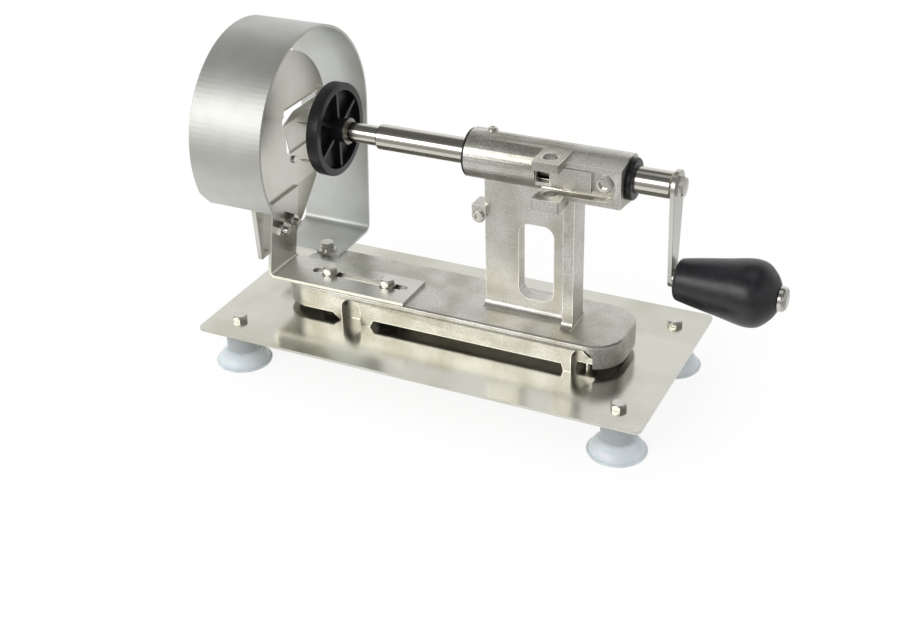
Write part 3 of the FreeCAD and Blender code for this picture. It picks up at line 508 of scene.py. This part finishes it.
def makeFloor():
    # White paper that glows for the camera and in mirrors, and takes the object's shadow
    mesh = bpy.data.meshes.new("floor")
    reach = paper["reach"]
    corners = [(-reach, -reach, 0), (reach, -reach, 0), (reach, reach, 0), (-reach, reach, 0)]
    mesh.from_pydata(corners, [], [(0, 1, 2, 3)])
    floor = bpy.data.objects.new("floor", mesh)
    bpy.context.collection.objects.link(floor)
    material, bsdf, coords = startMaterial("white paper", Base_Color=paper["tone"], Roughness=0.9)
    seen = addNode(material, "ShaderNodeLightPath").outputs
    links = {0: seen["Is Glossy Ray"], 1: seen["Is Transmission Ray"]}
    mirrored = addNode(material, "ShaderNodeMath", links, operation="MAXIMUM").outputs[0]
    links = {0: seen["Is Camera Ray"], 1: mirrored}
    either = addNode(material, "ShaderNodeMath", links, operation="MAXIMUM").outputs[0]
    place = addNode(material, "ShaderNodeSeparateXYZ", {"Vector": coords}).outputs
    full, dim = paper["frontEnd"]
    links = {"Value": place["Y"], "From Min": dim, "From Max": full,
             "To Min": paper["frontDim"], "To Max": 1.0}
    front = addNode(material, "ShaderNodeMapRange", links).outputs[0]
    full, dim = paper["rightEnd"]
    links = {"Value": place["X"], "From Min": full, "From Max": dim,
             "To Min": 1.0, "To Max": paper["rightDim"]}
    right = addNode(material, "ShaderNodeMapRange", links).outputs[0]
    table = addNode(material, "ShaderNodeMath", {0: front, 1: right}, operation="MULTIPLY").outputs[0]
    links = {0: seen["Is Camera Ray"], 1: paper["glow"]}
    straight = addNode(material, "ShaderNodeMath", links, operation="MULTIPLY").outputs[0]
    shown = addNode(material, "ShaderNodeMath", {0: table, 1: straight}, operation="MAXIMUM").outputs[0]
    glow = addNode(material, "ShaderNodeEmission", {"Color": (1, 1, 1, 1), "Strength": shown}).outputs[0]
    links = {0: either, 1: paper["share"]}
    share = addNode(material, "ShaderNodeMath", links, operation="MULTIPLY").outputs[0]
    links = {"Fac": share, 1: bsdf.outputs[0], 2: glow}
    mixed = addNode(material, "ShaderNodeMixShader", links).outputs[0]
    output = material.node_tree.nodes["Material Output"]
    material.node_tree.links.new(mixed, output.inputs["Surface"])
    mesh.materials.append(material)


lamps = {
    # name: place, width, height, watts
    "key soft box": ((-0.70, -1.38, 0.85), 1.5, 0.75, 11),
}
aimHeight = 0.1
room = {
    # what metal mirrors behind the object and in front of it: sine of the height, brightness
    "behind": ((0.0, 1.0), (0.60, 1.0), (0.80, 0.18), (0.93, 0.14), (0.98, 0.75)),
    "front": ((0.0, 0.62), (0.35, 0.56), (0.60, 0.26), (0.85, 0.14), (0.93, 0.14), (0.98, 0.75)),
    "wallFaces": (-0.448, 0.894, 0.0),    # the way to the middle of the wall behind
    "wallEnds": (0.2, 0.72),              # cosines from it, between which the wall gives way to the front
    "plain": (0.85, 0.85, 0.85, 1),       # what matt surfaces get from every side
}


def setLight():
    for name, (place, width, height, watts) in lamps.items():
        data = bpy.data.lights.new(name, "AREA")
        data.shape = "RECTANGLE"
        data.size = width
        data.size_y = height
        data.energy = watts
        lamp = bpy.data.objects.new(name, data)
        aim = Vector(place) - Vector((0, 0, aimHeight))
        lamp.matrix_world = Matrix.Translation(place) @ aim.to_track_quat("Z", "Y").to_matrix().to_4x4()
        bpy.context.collection.objects.link(lamp)
    world = bpy.data.worlds.new("studio")
    bpy.context.scene.world = world
    world.use_nodes = True
    seen = addNode(world, "ShaderNodeLightPath").outputs
    direction = addNode(world, "ShaderNodeTexCoord").outputs["Generated"]
    height = addNode(world, "ShaderNodeSeparateXYZ", {"Vector": direction}).outputs["Z"]
    links = {0: direction, 1: room["wallFaces"]}
    facing = addNode(world, "ShaderNodeVectorMath", links, operation="DOT_PRODUCT").outputs["Value"]
    low, high = room["wallEnds"]
    links = {"Value": facing, "From Min": low, "From Max": high}
    behind = addNode(world, "ShaderNodeMapRange", links).outputs[0]
    wall = ramp(world, height, *room["behind"])
    front = ramp(world, height, *room["front"])
    links = {"Factor": behind, "A": front, "B": wall}
    walls = addNode(world, "ShaderNodeMix", links, data_type="RGBA").outputs[2]
    links = {0: seen["Is Glossy Ray"], 1: seen["Is Transmission Ray"]}
    mirrored = addNode(world, "ShaderNodeMath", links, operation="MAXIMUM").outputs[0]
    links = {"Factor": mirrored, "A": room["plain"], "B": walls}
    lit = addNode(world, "ShaderNodeMix", links, data_type="RGBA").outputs[2]
    links = {"Factor": seen["Is Camera Ray"], "A": lit, "B": (1, 1, 1, 1)}
    tint = addNode(world, "ShaderNodeMix", links, data_type="RGBA").outputs[2]
    world.node_tree.links.new(tint, world.node_tree.nodes["Background"].inputs["Color"])


setCamera()
makeFloor()
setLight()
bpy.context.scene.view_settings.view_transform = "Standard"
print("camera, floor and light")
